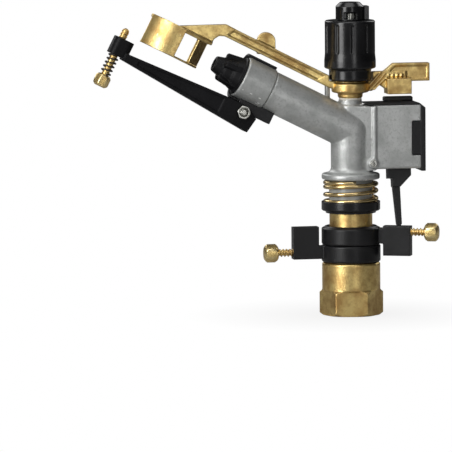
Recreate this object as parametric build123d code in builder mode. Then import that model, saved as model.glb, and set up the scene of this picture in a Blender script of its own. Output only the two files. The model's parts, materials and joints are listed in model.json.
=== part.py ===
"""Part-circle impact sprinkler with a one-inch female inlet, as separate working pieces.

Millimetres. The origin is the centre of the inlet's bottom face and +Z is up. The jet leaves towards -X,
the trip mechanism is on the +X side, and the front is -Y.
"""

import os
from math import cos, radians, sin

from build123d import *

os.makedirs("parts", exist_ok=True)

# ---------------------------------------------------------------- allowances
RUNNING = 0.05
LOOSE = 0.2
OVERCUT = 1.0

# ---------------------------------------------------------------- inlet base and bearing
HEX_ACROSS_FLATS = 40.0
HEX_ACROSS_ROUND = 23.3
HEX_FACE_R = 20.6
HEX_BEVEL = 1.8
HEX_TOP = 18.3
HEX_TURN = -11.0
DRUM_R = 21.0
DRUM_TOP = 38.4
DRUM_EDGE = 1.2
NECK_R = 15.5
NECK_TOP = 77.2
SPIGOT_R = 12.6
SPIGOT_TOP = 94.0
THREAD_MINOR_R = 15.15
THREAD_LENGTH = 20.0
CHAMBER_R = 14.6
CHAMBER_TOP = 34.0
PIPE_R = 11.0
PIPE_BORE_R = 8.6
PIPE_FLANGE_R = 14.0
PIPE_BOTTOM = 24.0
PIPE_FLANGE_TOP = 28.0
PIPE_TOP = 112.0
WASHER_R = 14.3
LOWER_WASHER = (28.0, 29.5)
SEAL_WASHER = (29.5, 32.5)
UPPER_WASHER = (32.5, 34.0)

# ---------------------------------------------------------------- bearing spring
CUP_R = 21.2
CUP_WALL = 0.8
CUP_LIP_R = 18.2
CUP_LIP_BOTTOM = 73.9
CUP_BOTTOM = 75.6
CUP_FLOOR = (77.2, 78.7)
CUP_TOP = 82.4
SPRING_R = 18.7
SPRING_WIRE_R = 1.3
SPRING_TURNS = 3.0
SLEEVE_R = 15.75
SLEEVE_BORE_R = 12.68
SLEEVE_BOTTOM = 80.2

# ---------------------------------------------------------------- body casting
FLANGE = (98.2, 102.6)
FLANGE_R = 21.0
FLANGE_EDGE = 0.8
FLANGE_ROUND = 1.5
FLANGE_FOOT_R = 17.4
FLANGE_FOOT_Z = 103.1
TUBE_R = 14.25
TUBE_FOOT_TOP = 107.4
TUBE_FOOT_MIDDLE = (15.2, 104.3)
TUBE_TOP = 134.0
POST_FOOT_R = 9.2
POST_FOOT = (148.0, 151.8)
POST_R = 8.4
POST_SHOULDER = 152.8
POST_TOP = 156.0
ELBOW_Z = 133.4
JET_ANGLE = 26.9
BARREL_R = 14.4
BARREL_END = 67.6
BARREL_END_BEVEL = 0.5
BARREL_SPIGOT_R = 12.4
BARREL_SPIGOT_END = 83.8
WATERWAY_R = 10.0
BOX_X = (15.4, 49.4)
BOX_Z = (105.7, 152.0)
BOX_HALF = 13.0
BOX_ROUND = 1.6
LOWER_WEB_HALF = 11.6
LOWER_WEB_Z = (104.6, 130.0)
UPPER_WEB_HALF = 12.7
UPPER_WEB_R = 9.8
UPPER_WEB_Z = (128.0, 151.4)
CAVITY_X = 18.8
CAVITY_HALF = 10.0
CAVITY_TOP = 149.0
NOTCH_X = 42.9
NOTCH_Z = (115.2, 140.2)
BEAD_POINT = (15.2, 12.3)
BEAD_R = 1.6
BEAD_Z = (106.6, 151.2)
BOSS_POINT = (14.0, 110.2)
BOSS_R = 3.6
BOSS_ROOT = 9.6
BOSS_FRONT = 13.9
ANVIL_X = (-17.0, -14.0)
ANVIL_Y = (3.55, 9.0)
ANVIL_Z = (148.0, 169.0)

# ---------------------------------------------------------------- arm pivot and spring housing
PIN_R = 4.0
PIN_BOTTOM = 146.8
PIN_TOP = 218.5
PIN_BEVEL = 0.5
ARM_WASHER_R = 8.2
HUB_BOTTOM = 157.0
HUB_STEP = 161.0
HUB_SHOULDER = 168.0
HUB_TOP = 169.5
HUB_FOOT_R = 9.0
HUB_R = 13.5
HUB_EDGE = 0.8
HUB_RING_R = 11.6
BUSHING_R = 5.6
PIVOT_NUT = (169.7, 175.2)
PIVOT_NUT_ACROSS = 13.0
PIVOT_NUT_BEVEL = 0.8
CAP_RING_R = 15.2
CAP_RING = (170.0, 177.6)
CAP_R = 18.1
CAP_SKIRT_R = 18.6
CAP_SKIRT_TOP = 184.0
CAP_FLARE_TOP = 189.0
CAP_BODY_BOTTOM = 179.0
CAP_TOP = 213.0
CAP_WALL = 2.0
CAP_EDGE = 0.8
CAP_GROOVE_DEPTH = 0.9
CAP_GROOVES = 10
CAP_GROOVE_HALF = 1.0
CAP_GROOVE_Z = (190.0, 210.0)
CAP_GROOVE_START = 12.0
CAP_HOLE_R = 8.0
ARM_SPRING_R = 10.6
ARM_SPRING_WIRE_R = 0.9
ARM_SPRING = (171.0, 208.5)
ARM_SPRING_TURNS = 9
KNOB_STEM_BOTTOM = 209.0
KNOB_R = 10.2
KNOB_TOP = 226.0
KNOB_BEVEL = 3.0
KNOB_TAB_X = 13.4
KNOB_TAB_HALF = 4.2
KNOB_TAB = (213.3, 223.2)
KNOB_BASE = 213.1
KNOB_BORE_TOP = 219.0
KNOB_WINDOW_X = (-6.2, 3.2)
KNOB_WINDOW_Z = (213.9, 218.8)
KNOB_WINDOW_BACK = 3.0

# ---------------------------------------------------------------- nozzle
COLLAR_R = 15.3
COLLAR_FRONT = 90.2
COLLAR_EDGE = 0.7
SEAL_RING_R = 11.2
SEAL_RING_SECTION = 1.0
SEAL_RING_AT = 84.8
NOZZLE_BACK = 85.8
NOZZLE_TIP = 112.0
NOZZLE_INLET_R = 9.8
NOZZLE_OUTLET_R = 3.2
NOZZLE_OUTLET_LENGTH = 4.0
# outside of the nozzle in front of the ring nut: (distance along the jet, radius)
NOZZLE_HORN = [(COLLAR_FRONT, 14.3), (91.4, 14.3), (92.2, 12.8), (96.6, 11.2), (98.6, 9.6), (103.4, 8.3),
               (105.0, 7.5), (111.4, 5.7), (NOZZLE_TIP, 5.1)]
NOZZLE_FIN = [(91.0, 5.0), (91.0, 12.8), (94.4, 12.6), (104.9, 11.1), (105.8, 10.0), (105.8, 5.0)]
NOZZLE_FIN_HALF = 1.9
NOZZLE_FINS = 5
STRAIGHTENER = (24.0, 52.0)
STRAIGHTENER_WALL = 0.9
STRAIGHTENER_VANE = 1.0

# ---------------------------------------------------------------- impact arm
BEAM_HALF = 3.5
BEAM_LOW = 20.6
BEAM_HIGH = 28.6
BEAM_RECESS = 0.9
SPOON_LOW = -9.4
SPOON_FLOOR = -8.0
SPOON_TOP_PLATE = 10.3
SPOON_HIGH = 12.9
SPOON_START = 121.8
SPOON_END = 166.8
# side of the beam and its recess: (distance along the jet, height above it)
BEAM_SIDE = [(20.0, 23.1), (27.4, BEAM_LOW), (113.6, BEAM_LOW), (117.7, 19.0), (119.9, 15.6),
             (120.5, SPOON_TOP_PLATE), (147.0, SPOON_TOP_PLATE), (147.0, SPOON_HIGH),
             (116.2, 28.9), (105.5, BEAM_HIGH), (20.0, BEAM_HIGH)]
BEAM_POCKET = [(38.6, 22.3), (112.6, 22.3), (109.6, 26.9), (34.6, 26.9)]
# spoon seen along its height: (distance along the jet, distance behind it)
SPOON_ARC = [(SPOON_END, -3.6), (156.8, 7.3), (142.3, 10.8)]
SPOON_INNER_ARC = [(142.8, 8.1), (155.2, 4.6), (164.4, -5.4)]
SPOON_PLATE_EDGE = [(119.7, 3.5), (119.7, -4.5), (152.6, -4.5), (SPOON_END, -8.6), (SPOON_END, -3.6)]
SPOON_PLATE_CORNER = (129.9, 8.0)
SPOON_RAIL_EDGE = [(SPOON_START, -1.0), (SPOON_START, -5.4), (142.0, 4.2), (154.4, 3.2), (166.6, -6.0),
                   (SPOON_END, -3.6)]
SPOON_RAIL_CORNER = (129.9, 8.0)
INNER_VANE = [(SPOON_START, -5.4), (123.4, -6.6), (131.7, 4.6), (130.3, 7.2), (SPOON_START, -2.2)]
LUG_POINT = (-61.6, 198.9)
LUG_R = 6.6
LUG_FOOT = 9.0
LUG_HALF = 2.4
HAMMER_X = (25.6, 43.4)
HAMMER_Z = (159.4, 170.6)
HAMMER_FRONT = 10.0
# side of the tail plate, its pocket and its ribs: (X, Z)
TAIL_HALF = 3.5
TAIL_SIDE = [(8.0, 162.0), (15.4, 161.6), (20.0, 166.6), (25.4, 163.0), (HAMMER_X[1], 168.2), (58.0, 168.2),
             (58.0, 181.3), (31.6, 181.3), (24.6, 175.6), (16.2, 175.6), (12.0, 168.0), (8.0, 168.0)]
TAIL_POCKET = [(40.6, 170.2), (55.9, 170.2), (55.9, 179.4), (32.6, 179.4), (28.0, 175.4), (40.6, 175.4)]
TAIL_POCKET_DEPTH = 0.8
TAIL_RIBS = [((9.4, 162.6), (20.6, 174.6)), ((12.4, 162.0), (24.0, 174.0)), ((15.6, 162.4), (25.8, 172.4))]
TAIL_RIB_WIDTH = 1.6
TAIL_RIB_STAND = 1.0
CAST_MARKS_X = (27.4, 30.6, 33.8, 37.0)
CAST_MARKS_Z = 172.4
CAST_MARK_R = 1.2
CAP_ROOM = 1.1

# ---------------------------------------------------------------- trip mechanism
COVER_X = (49.4, 52.8)
COVER_TOP = 153.2
COVER_BOTTOM = 103.8
COVER_PLATE_X = 10.8
COVER_SIDE = 12.8
COVER_CORNER = (4.4, 3.6)
COVER_TONGUE = (-12.4, -9.6)
LEVER_PIVOT_Z = 112.0
LEVER_REST = 7.0
LEVER_PIN_R = 2.0
LEVER_PIN_X = (16.2, 52.4)
LEVER_BODY_HALF = 3.4
LEVER_HALF = 4.0
POINTER_HALF = 2.0
CRANK_LENGTH = 20.0
CRANK_PIN_R = 1.5
CRANK_X = (27.6, 31.0)
CRANK_PIN_END = 38.5
# the lever from the front, in its own plane: (X, height above the pivot)
LEVER_BODY = [(25.5, -6.0), (46.8, -6.0), (46.8, 5.0), (43.4, 10.2), (31.0, 10.2), (31.0, 22.6), (27.6, 22.6),
              (27.6, 5.0), (25.5, 5.0)]
LEVER_SHOULDER = [(26.5, -14.2), (29.7, -14.2), (29.9, -20.3), (35.5, -20.3), (43.6, -12.2), (43.6, -5.0),
                  (26.5, -5.0)]
LEVER_POINTER = [(29.9, -19.0), (35.5, -19.0), (36.1, -47.1), (35.0, -48.6), (33.0, -48.6), (32.2, -47.1)]
DOG_X = (32.0, 36.0)
DOG_SLOT_HALF = 1.75
DOG_SLOT_REACH = 7.8
DOG_SLOT_OFFSET = 2.45
DOG_SLOT_ANGLE = 45.0
DOG_SHOULDER_Z = 140.0
# corners of the dog's plate counted from the crank pin: (Y, Z)
DOG_FOOT = [(-8.2, -10.0), (4.6, -4.2)]
DOG_LEFT = (-8.2, -2.6)
DOG_RIGHT = 2.0
DOG_PAD_X = (26.2, 47.4)
DOG_PAD_Y = (5.6, 11.6)
DOG_PAD_Z = (153.4, 156.6)
DOG_PAD_EDGE = 0.6
DOG_STEM_X = (30.0, 40.0)
DOG_STEM_Y = (5.0, 9.0)
DOG_STEM_BOTTOM = 136.0
TOGGLE_X = 44.2
TOGGLE_R = 2.2
TOGGLE_WIRE_R = 0.35
TOGGLE_Z = (123.0, 148.6)
TOGGLE_TURNS = 9
SCREW_HEAD_R = 2.7
SCREW_HEAD = 1.6
SCREW_HEAD_EDGE = 0.4
SCREW_SHANK_R = 1.8
SCREW_LENGTH = 7.0
SCREW_SLOT = 0.8

# ---------------------------------------------------------------- stop collars and their screws
STOP_R = 21.3
STOP_BORE_R = 15.55
LOWER_STOP = (38.6, 50.9)
UPPER_STOP = (51.1, 63.5)
UPPER_STOP_CONE = [(19.9, 63.5), (18.5, 64.6), (STOP_BORE_R, 64.6)]
STOP_BEVEL = 0.8
TAB_HALF = 4.0
TAB_INNER = 24.2
TAB_ROOT = 19.5
TAB_BRIDGE_Z = (0.8, 0.4)
LOWER_TAB_OUTER = 43.2
LOWER_TAB = (41.0, 64.4)
LOWER_TAB_ANGLE = 180.0
LOWER_SCREW_Z = 45.8
UPPER_TAB_OUTER = 44.4
UPPER_TAB = (43.2, 64.8)
UPPER_TAB_ANGLE = -24.0
UPPER_SCREW_Z = 60.4
STOP_SCREW_R = 2.9
STOP_SCREW_ROOT_R = 2.2
STOP_SCREW_PITCH = 2.8
STOP_SCREW_TIP = 15.7
LOWER_SCREW_HEAD = (54.0, 64.0)
UPPER_SCREW_HEAD = (54.4, 64.4)
STOP_HEAD_ACROSS = 11.6
STOP_HEAD_BEVEL = 1.4

# ---------------------------------------------------------------- jet breaker
SADDLE = (69.0, 91.9)
SADDLE_R = 17.3
SADDLE_START = 82.0
SADDLE_SWEEP = 190.0
BRACKET_U = (56.9, 84.2)
BRACKET_W = (-22.2, -12.0)
BRACKET_HALF = 5.9
BOLT_U = 78.6
BOLT_W = -22.5
BOLT_R = 2.5
BOLT_END_R = 1.9
BOLT_EYE_R = 6.2
BREAKER_HALF = 8.0
CHEEK_INNER = 6.0
NUT_ACROSS = 9.0
NUT_THICK = 4.0
NUT_BEVEL = 0.7
NUT_MOUTH_R = 3.5
NUT_MOUTH_DEPTH = 1.0
NUT_TURN = 12.0
BOLT_HEAD_THICK = 3.2
BOLT_SHOW = 0.6
BLOCK_U = (170.8, 185.6)
BLOCK_W = (-26.1, -13.1)
BLOCK_HALF = 7.2
BLOCK_ROUND = 5.0
# side of the breaker arm, its channel for the bracket and its side groove: (along the jet, above it)
BREAKER_SIDE = [(67.6, -22.9), (69.5, -34.5), (174.0, -27.2), (174.0, -21.6), (94.0, -17.4), (80.0, -17.4),
                (74.6, -18.4)]
BREAKER_CHANNEL = [(60.0, -31.6), (86.4, -30.8), (91.0, -24.0), (92.0, -10.0), (60.0, -10.0)]
BREAKER_GROOVE = [(95.0, -30.4), (163.0, -26.0), (163.0, -22.9), (95.0, -19.4)]
BREAKER_GROOVE_DEPTH = 0.8
PIN_SCREW_U = 179.4
PIN_SCREW_TIP_W = -5.7
PIN_SCREW_R = 2.75
PIN_SCREW_POINT = (2.2, 1.0)
PIN_SCREW_HEAD_W = (-51.4, -42.2)
PIN_SCREW_ACROSS = 10.2
PIN_SCREW_BEVEL = 1.2
PIN_SCREW_TURN = 30.0
LOCK_SPRING_R = 3.7
LOCK_SPRING_WIRE_R = 0.6
LOCK_SPRING_TURNS = 5

# ---------------------------------------------------------------- frames that follow the jet
ELBOW = Vector(0, 0, ELBOW_Z)
JET = Vector(-cos(radians(JET_ANGLE)), 0, sin(radians(JET_ANGLE)))
UPRIGHT = Vector(sin(radians(JET_ANGLE)), 0, cos(radians(JET_ANGLE)))
TO_FRONT = Vector(0, -1, 0)
JET_AXIS = Axis(ELBOW, JET)
JET_SIDE = Plane(origin=ELBOW, x_dir=JET, z_dir=-TO_FRONT)
FRONT = Plane.XZ


def jet_point(u, w=0.0, y=0.0):
    """The point at distance u along the jet from the elbow, w above the jet and y behind it."""
    return ELBOW + JET * u + UPRIGHT * w - TO_FRONT * y


def across_jet(u):
    """The plane square to the jet at u; its x runs to the front and its y upwards."""
    return Plane(origin=jet_point(u), x_dir=TO_FRONT, z_dir=JET)


def over_jet(w):
    """The plane at height w above the jet; its x runs along the jet and its y to the back."""
    return Plane(origin=jet_point(0, w), x_dir=JET, z_dir=UPRIGHT)


def ray_plane(angle, distance, z):
    """The plane square to a level ray from the axis, with its y upwards."""
    ray = Vector(cos(radians(angle)), sin(radians(angle)), 0)
    return Plane(origin=ray * distance + Vector(0, 0, z), x_dir=Vector(0, 0, 1).cross(ray), z_dir=ray)


def facing_x(x, z):
    """The plane square to X through a point on the middle plane."""
    return Plane(origin=(x, 0, z), x_dir=(0, 1, 0), z_dir=(1, 0, 0))


def facing_front(x, front, z):
    """The plane square to Y that looks to the front, at a distance in front of the middle plane."""
    return FRONT.offset(front).shift_origin(Vector(x, -front, z))


# ---------------------------------------------------------------- small shape helpers
def outline(plane, points):
    """A closed flat face through the points, on the plane."""
    with BuildSketch(plane) as flat:
        with BuildLine():
            Polyline(*points, close=True)
        make_face()
    return flat.sketch


def slab(plane, points, amount, both=False, mode=Mode.ADD):
    """The outline pushed out of its plane."""
    extrude(outline(plane, points), amount=amount, both=both, mode=mode)


def turned(plane, points, axis=Axis.Z, mode=Mode.ADD):
    """The outline turned about the axis."""
    revolve(outline(plane, points), axis=axis, mode=mode)


def rod(plane, radius, amount, both=False, mode=Mode.ADD):
    """A round bar standing on the plane."""
    with BuildSketch(plane) as disc:
        Circle(radius)
    extrude(disc.sketch, amount=amount, both=both, mode=mode)


def prism(plane, across, sides, amount, turn=0.0, mode=Mode.ADD):
    """A regular bar standing on the plane, measured across its flats."""
    with BuildSketch(plane) as shape:
        RegularPolygon(radius=across / 2, side_count=sides, major_radius=False, rotation=turn)
    extrude(shape.sketch, amount=amount, mode=mode)


def block(x, y, z, mode=Mode.ADD):
    """A box between two limits on each axis."""
    low = Vector(x[0], y[0], z[0])
    size = Vector(x[1], y[1], z[1]) - low
    with Locations(low):
        Box(size.X, size.Y, size.Z, align=(Align.MIN, Align.MIN, Align.MIN), mode=mode)


def ring(inner, outer, z, mode=Mode.ADD):
    """A flat ring about the upright axis."""
    turned(FRONT, [(inner, z[0]), (outer, z[0]), (outer, z[1]), (inner, z[1])], mode=mode)


def thread_profile(length, outer, root, pitch):
    """Half the outline of a screw thread, as (distance along, radius) points."""
    crest_start = 0.4
    crest_end = 0.6
    points = []
    count = int(length / pitch)
    for turn in range(count):
        start = turn * pitch
        points += [(start, root), (start + pitch * crest_start, outer), (start + pitch * crest_end, outer)]
    return points + [(count * pitch, root), (length, root)]


def coil(plane, radius, wire, height, turns):
    """A round wire wound on a helix that starts on the plane's x axis."""
    path = Helix(pitch=height / turns, height=height, radius=radius, mode=Mode.PRIVATE)
    path = plane.from_local_coords(path)
    with BuildSketch(Plane(origin=path @ 0, z_dir=path % 0)) as section:
        Circle(wire)
    sweep(section.sketch, path=path, is_frenet=True)


def bevelled_bar(foot, across, sides, amount, bevel, turn=0.0):
    """A nut-shaped bar with coned corners at both ends; it is always the first shape of its piece."""
    prism(foot, across, sides, amount, turn)
    corner_share = 1.16
    reach = across / 2 * corner_share
    side = Plane(origin=foot.origin, x_dir=foot.x_dir, z_dir=foot.y_dir * -1)
    limits = [(0, 0), (reach - bevel, 0), (reach, bevel), (reach, amount - bevel)]
    limits += [(reach - bevel, amount), (0, amount)]
    turned(side, limits, Axis(foot.origin, foot.z_dir), mode=Mode.INTERSECT)


# ================================================================ fixed base
with BuildPart() as inlet_base:
    prism(Plane.XY, HEX_ACROSS_FLATS, 6, HEX_TOP, HEX_TURN)
    hex_cone = [(0, 0), (HEX_FACE_R, 0), (HEX_ACROSS_ROUND, HEX_BEVEL)]
    hex_cone += [(HEX_ACROSS_ROUND, HEX_TOP - HEX_BEVEL), (HEX_FACE_R, HEX_TOP), (0, HEX_TOP)]
    turned(FRONT, hex_cone, mode=Mode.INTERSECT)
    drum = [(0, HEX_TOP), (DRUM_R, HEX_TOP), (DRUM_R, DRUM_TOP - DRUM_EDGE)]
    drum += [(DRUM_R - DRUM_EDGE, DRUM_TOP), (NECK_R, DRUM_TOP), (NECK_R, NECK_TOP)]
    drum += [(SPIGOT_R, NECK_TOP), (SPIGOT_R, SPIGOT_TOP), (0, SPIGOT_TOP)]
    turned(FRONT, drum)
    bore = [(0, 0), (THREAD_MINOR_R, 0), (THREAD_MINOR_R, THREAD_LENGTH), (CHAMBER_R, THREAD_LENGTH)]
    bore += [(CHAMBER_R, CHAMBER_TOP), (PIPE_R + RUNNING, CHAMBER_TOP), (PIPE_R + RUNNING, SPIGOT_TOP)]
    turned(FRONT, bore + [(0, SPIGOT_TOP)], mode=Mode.SUBTRACT)
inlet_base.part.label = "inlet_base"
export_step(inlet_base.part, "parts/inlet_base.step")

with BuildPart() as lower_thrust_washer:
    ring(PIPE_R + RUNNING, WASHER_R, LOWER_WASHER)
lower_thrust_washer.part.label = "lower_thrust_washer"
export_step(lower_thrust_washer.part, "parts/lower_thrust_washer.step")

with BuildPart() as seal_washer:
    ring(PIPE_R + RUNNING, WASHER_R, SEAL_WASHER)
seal_washer.part.label = "seal_washer"
export_step(seal_washer.part, "parts/seal_washer.step")

with BuildPart() as upper_thrust_washer:
    ring(PIPE_R + RUNNING, WASHER_R, UPPER_WASHER)
upper_thrust_washer.part.label = "upper_thrust_washer"
export_step(upper_thrust_washer.part, "parts/upper_thrust_washer.step")

with BuildPart() as spring_cup:
    cup = [(NECK_R, CUP_LIP_BOTTOM), (CUP_LIP_R, CUP_LIP_BOTTOM), (CUP_LIP_R, CUP_BOTTOM)]
    cup += [(CUP_R - CUP_WALL, CUP_BOTTOM), (CUP_R, CUP_BOTTOM + CUP_WALL), (CUP_R, CUP_TOP)]
    cup += [(CUP_R - CUP_WALL, CUP_TOP), (CUP_R - CUP_WALL, CUP_FLOOR[1])]
    cup += [(SPIGOT_R, CUP_FLOOR[1]), (SPIGOT_R, CUP_FLOOR[0]), (NECK_R, CUP_FLOOR[0])]
    turned(FRONT, cup)
spring_cup.part.label = "spring_cup"
export_step(spring_cup.part, "parts/spring_cup.step")

SPRING_FOOT = CUP_FLOOR[1] + SPRING_WIRE_R + RUNNING
SPRING_RISE = FLANGE[0] - SPRING_WIRE_R - RUNNING - SPRING_FOOT
with BuildPart() as bearing_spring:
    coil(Plane.XY.offset(SPRING_FOOT), SPRING_R, SPRING_WIRE_R, SPRING_RISE, SPRING_TURNS)
bearing_spring.part.label = "bearing_spring"
export_step(bearing_spring.part, "parts/bearing_spring.step")

# ================================================================ turning head
with BuildPart() as body_casting:
    # flange with a rounded rim and a hollow blend into the upright tube
    with BuildSketch(FRONT) as shell:
        with BuildLine():
            rim_start = (FLANGE_R, FLANGE[1] - FLANGE_ROUND)
            rim_end = (FLANGE_R - FLANGE_ROUND, FLANGE[1])
            Polyline((0, FLANGE[0]), (FLANGE_R - FLANGE_EDGE, FLANGE[0]), (FLANGE_R, FLANGE[0] + FLANGE_EDGE),
                     rim_start)
            RadiusArc(rim_start, rim_end, -FLANGE_ROUND)
            Line(rim_end, (FLANGE_FOOT_R, FLANGE_FOOT_Z))
            ThreePointArc((FLANGE_FOOT_R, FLANGE_FOOT_Z), TUBE_FOOT_MIDDLE, (TUBE_R, TUBE_FOOT_TOP))
            Polyline((TUBE_R, TUBE_FOOT_TOP), (TUBE_R, TUBE_TOP), (0, TUBE_TOP), (0, FLANGE[0]))
        make_face()
    revolve(shell.sketch, axis=Axis.Z)
    # elbow, barrel and the spigot for the nozzle
    with Locations(ELBOW):
        Sphere(BARREL_R)
    barrel = [(0, 0), (0, BARREL_R), (BARREL_END - BARREL_END_BEVEL, BARREL_R)]
    barrel += [(BARREL_END, BARREL_R - BARREL_END_BEVEL), (BARREL_END, BARREL_SPIGOT_R)]
    turned(JET_SIDE, barrel + [(BARREL_SPIGOT_END, BARREL_SPIGOT_R), (BARREL_SPIGOT_END, 0)], JET_AXIS)
    # webs that carry the mechanism box and the pivot post
    block((0, BOX_X[0] + OVERCUT), (-LOWER_WEB_HALF, LOWER_WEB_HALF), LOWER_WEB_Z)
    with BuildSketch(Plane.XY.offset(UPPER_WEB_Z[0])) as upper_web:
        Circle(UPPER_WEB_R)
        with BuildLine():
            Polyline((0, -UPPER_WEB_R), (BOX_X[0] + OVERCUT, -UPPER_WEB_HALF),
                     (BOX_X[0] + OVERCUT, UPPER_WEB_HALF), (0, UPPER_WEB_R), close=True)
        make_face()
    extrude(upper_web.sketch, amount=UPPER_WEB_Z[1] - UPPER_WEB_Z[0])
    turned(FRONT, [(0, POST_FOOT[0]), (POST_FOOT_R, POST_FOOT[0]), (POST_FOOT_R, POST_FOOT[1]),
                   (POST_R, POST_SHOULDER), (POST_R, POST_TOP), (0, POST_TOP)])
    # mechanism box with rounded long edges, and a moulding bead down both its sides
    with BuildSketch(Plane.YZ.offset(BOX_X[0])) as box_end:
        with Locations((0, (BOX_Z[0] + BOX_Z[1]) / 2)):
            RectangleRounded(2 * BOX_HALF, BOX_Z[1] - BOX_Z[0], BOX_ROUND)
    extrude(box_end.sketch, amount=BOX_X[1] - BOX_X[0])
    for side in (-1, 1):
        rod(Plane(origin=(BEAD_POINT[0], side * BEAD_POINT[1], BEAD_Z[0])), BEAD_R, BEAD_Z[1] - BEAD_Z[0])
    rod(facing_front(BOSS_POINT[0], BOSS_ROOT, BOSS_POINT[1]), BOSS_R, BOSS_FRONT - BOSS_ROOT)
    block(ANVIL_X, ANVIL_Y, ANVIL_Z)
    # open mechanism chamber, notch in its front wall, and slot for the reversing dog
    block((CAVITY_X, BOX_X[1] + OVERCUT), (-CAVITY_HALF, CAVITY_HALF), (LOWER_WEB_Z[0] - OVERCUT, CAVITY_TOP),
          Mode.SUBTRACT)
    block((NOTCH_X, BOX_X[1] + OVERCUT), (-BOX_HALF - OVERCUT, -CAVITY_HALF + OVERCUT), NOTCH_Z, Mode.SUBTRACT)
    stem_room = (DOG_STEM_X[0] - LOOSE, DOG_STEM_X[1] + LOOSE)
    stem_side = (DOG_STEM_Y[0] - LOOSE, DOG_STEM_Y[1] + LOOSE)
    block(stem_room, stem_side, (CAVITY_TOP - OVERCUT, BOX_Z[1] + OVERCUT), Mode.SUBTRACT)
    # waterway, pin socket, lever pin hole and screw hole
    waterway = [(0, FLANGE[0]), (PIPE_R, FLANGE[0]), (PIPE_R, PIPE_TOP), (WATERWAY_R, PIPE_TOP)]
    turned(FRONT, waterway + [(WATERWAY_R, ELBOW_Z), (0, ELBOW_Z)], mode=Mode.SUBTRACT)
    with Locations(ELBOW):
        Sphere(WATERWAY_R, mode=Mode.SUBTRACT)
    rod(across_jet(0), WATERWAY_R, BARREL_SPIGOT_END + OVERCUT, mode=Mode.SUBTRACT)
    rod(Plane.XY.offset(PIN_BOTTOM), PIN_R, POST_TOP - PIN_BOTTOM + OVERCUT, mode=Mode.SUBTRACT)
    rod(facing_x(LEVER_PIN_X[0], LEVER_PIVOT_Z), LEVER_PIN_R, CAVITY_X - LEVER_PIN_X[0] + OVERCUT,
        mode=Mode.SUBTRACT)
    rod(facing_front(BOSS_POINT[0], BOSS_FRONT, BOSS_POINT[1]), SCREW_SHANK_R, -(SCREW_LENGTH - SCREW_HEAD),
        mode=Mode.SUBTRACT)
body_casting.part.label = "body_casting"
export_step(body_casting.part, "parts/body_casting.step")

with BuildPart() as bearing_pipe:
    pipe = [(PIPE_BORE_R, PIPE_BOTTOM), (PIPE_FLANGE_R, PIPE_BOTTOM), (PIPE_FLANGE_R, PIPE_FLANGE_TOP)]
    pipe += [(PIPE_R, PIPE_FLANGE_TOP), (PIPE_R, PIPE_TOP), (PIPE_BORE_R, PIPE_TOP)]
    turned(FRONT, pipe)
bearing_pipe.part.label = "bearing_pipe"
export_step(bearing_pipe.part, "parts/bearing_pipe.step")

with BuildPart() as spring_sleeve:
    ring(SLEEVE_BORE_R, SLEEVE_R, (SLEEVE_BOTTOM, FLANGE[0]))
    ring(PIPE_R, SLEEVE_R, (SPIGOT_TOP + OVERCUT, FLANGE[0]))
spring_sleeve.part.label = "spring_sleeve"
export_step(spring_sleeve.part, "parts/spring_sleeve.step")

with BuildPart() as stream_straightener:
    straightener_length = STRAIGHTENER[1] - STRAIGHTENER[0]
    rod(across_jet(STRAIGHTENER[0]), WATERWAY_R, straightener_length)
    inner = WATERWAY_R - STRAIGHTENER_WALL
    rod(across_jet(STRAIGHTENER[0]), inner, straightener_length, mode=Mode.SUBTRACT)
    with BuildSketch(across_jet(STRAIGHTENER[0])) as vanes:
        Rectangle(2 * inner + STRAIGHTENER_WALL, STRAIGHTENER_VANE)
        Rectangle(STRAIGHTENER_VANE, 2 * inner + STRAIGHTENER_WALL)
    extrude(vanes.sketch, amount=straightener_length)
stream_straightener.part.label = "stream_straightener"
export_step(stream_straightener.part, "parts/stream_straightener.step")

with BuildPart() as nozzle_collar:
    collar = [(BARREL_END, BARREL_SPIGOT_R), (BARREL_END, COLLAR_R - COLLAR_EDGE)]
    collar += [(BARREL_END + COLLAR_EDGE, COLLAR_R), (COLLAR_FRONT - COLLAR_EDGE, COLLAR_R)]
    collar += [(COLLAR_FRONT, COLLAR_R - COLLAR_EDGE), (COLLAR_FRONT, BARREL_SPIGOT_R)]
    turned(JET_SIDE, collar, JET_AXIS)
nozzle_collar.part.label = "nozzle_collar"
export_step(nozzle_collar.part, "parts/nozzle_collar.step")

with BuildPart() as nozzle_seal_ring:
    with BuildSketch(JET_SIDE) as seal_section:
        with Locations((SEAL_RING_AT, SEAL_RING_R)):
            Circle(SEAL_RING_SECTION)
    revolve(seal_section.sketch, axis=JET_AXIS)
nozzle_seal_ring.part.label = "nozzle_seal_ring"
export_step(nozzle_seal_ring.part, "parts/nozzle_seal_ring.step")

with BuildPart() as nozzle:
    horn = [(NOZZLE_BACK, 0), (NOZZLE_BACK, BARREL_SPIGOT_R), (COLLAR_FRONT, BARREL_SPIGOT_R)]
    turned(JET_SIDE, horn + NOZZLE_HORN + [(NOZZLE_TIP, 0)], JET_AXIS)
    for fin in range(NOZZLE_FINS):
        turn = radians(360 / NOZZLE_FINS * fin)
        outwards = UPRIGHT * cos(turn) + TO_FRONT * sin(turn)
        slab(Plane(origin=ELBOW, x_dir=JET, z_dir=JET.cross(outwards)), NOZZLE_FIN, NOZZLE_FIN_HALF, both=True)
    taper_end = NOZZLE_TIP - NOZZLE_OUTLET_LENGTH
    passage = [(NOZZLE_BACK, 0), (NOZZLE_BACK, NOZZLE_INLET_R), (taper_end, NOZZLE_OUTLET_R)]
    turned(JET_SIDE, passage + [(NOZZLE_TIP, NOZZLE_OUTLET_R), (NOZZLE_TIP, 0)], JET_AXIS, Mode.SUBTRACT)
nozzle.part.label = "nozzle"
export_step(nozzle.part, "parts/nozzle.step")

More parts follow.
